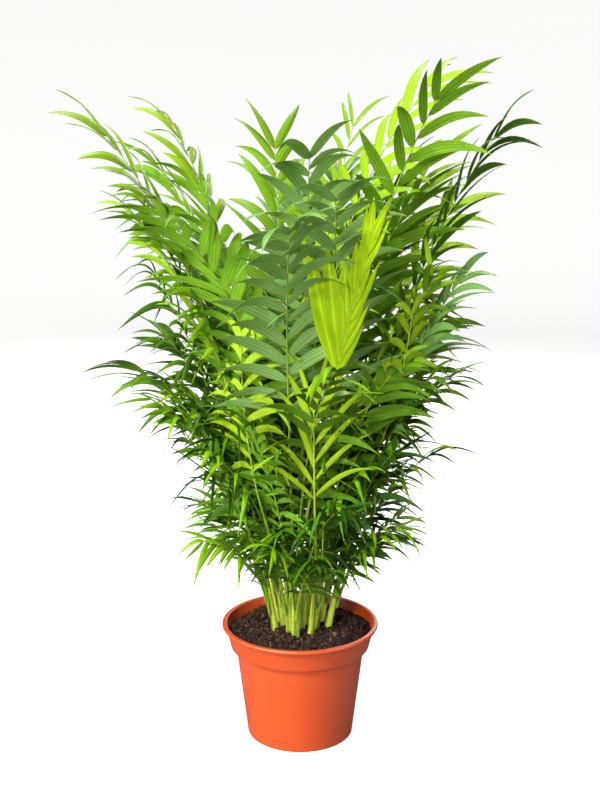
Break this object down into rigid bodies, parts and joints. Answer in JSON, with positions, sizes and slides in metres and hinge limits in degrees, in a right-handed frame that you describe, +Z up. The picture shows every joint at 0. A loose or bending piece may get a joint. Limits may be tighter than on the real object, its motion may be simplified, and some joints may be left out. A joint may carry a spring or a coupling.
{
  "type": "potted parlour palm",
  "caption": "Parlour palm in a tapered round nursery pot: a clump of short ringed stems with an upright, arching vase of pinnate fronds.",
  "frame": {"origin": "middle of the pot's flat underside", "axes": "+Z up along the pot's axis and the plant's height, -Y towards the viewer"},
  "size_m": [0.4494, 0.5133, 0.7352],
  "materials": {
    "pot": "terracotta-orange moulded plastic, satin, with a fine mottle and light scuffs",
    "soil": "moist dark brown peat potting soil with crumbs and fibres",
    "stem": "pale green ringed cane with papery sheaths at the foot",
    "canopy_frond": "fresh mid green leaf, softly glossy above with parallel veins",
    "middle_frond": "mature green leaf, softly glossy above with parallel veins",
    "skirt_frond": "deep green narrow leaf, softly glossy above"
  },
  "bodies": {
    "root": {"pot": "pot", "soil": "soil", "stem_01": "stem", "stem_02": "stem", "stem_03": "stem", "stem_04": "stem", "stem_05": "stem", "stem_06": "stem", "stem_07": "stem", "stem_08": "stem", "stem_09": "stem", "stem_10": "stem", "stem_11": "stem", "stem_12": "stem", "stem_13": "stem", "stem_14": "stem", "stem_15": "stem", "stem_16": "stem", "canopy_frond_01": "canopy_frond", "canopy_frond_02": "canopy_frond", "canopy_frond_03": "canopy_frond", "canopy_frond_04": "canopy_frond", "canopy_frond_05": "canopy_frond", "canopy_frond_06": "canopy_frond", "canopy_frond_07": "canopy_frond", "canopy_frond_08": "canopy_frond", "canopy_frond_09": "canopy_frond", "canopy_frond_10": "canopy_frond", "canopy_frond_11": "canopy_frond", "canopy_frond_12": "canopy_frond", "canopy_frond_13": "canopy_frond", "canopy_frond_14": "canopy_frond", "canopy_frond_15": "canopy_frond", "canopy_frond_16": "canopy_frond", "middle_frond_01": "middle_frond", "middle_frond_02": "middle_frond", "middle_frond_03": "middle_frond", "middle_frond_04": "middle_frond", "middle_frond_05": "middle_frond", "middle_frond_06": "middle_frond", "middle_frond_07": "middle_frond", "middle_frond_08": "middle_frond", "middle_frond_09": "middle_frond", "middle_frond_10": "middle_frond", "middle_frond_11": "middle_frond", "middle_frond_12": "middle_frond", "middle_frond_13": "middle_frond", "middle_frond_14": "middle_frond", "middle_frond_15": "middle_frond", "middle_frond_16": "middle_frond", "skirt_frond_07": "skirt_frond", "skirt_frond_08": "skirt_frond", "skirt_frond_09": "skirt_frond", "skirt_frond_10": "skirt_frond", "skirt_frond_11": "skirt_frond", "skirt_frond_12": "skirt_frond", "skirt_frond_13": "skirt_frond", "skirt_frond_14": "skirt_frond", "skirt_frond_15": "skirt_frond", "skirt_frond_16": "skirt_frond"}
  },
  "joints": []
}
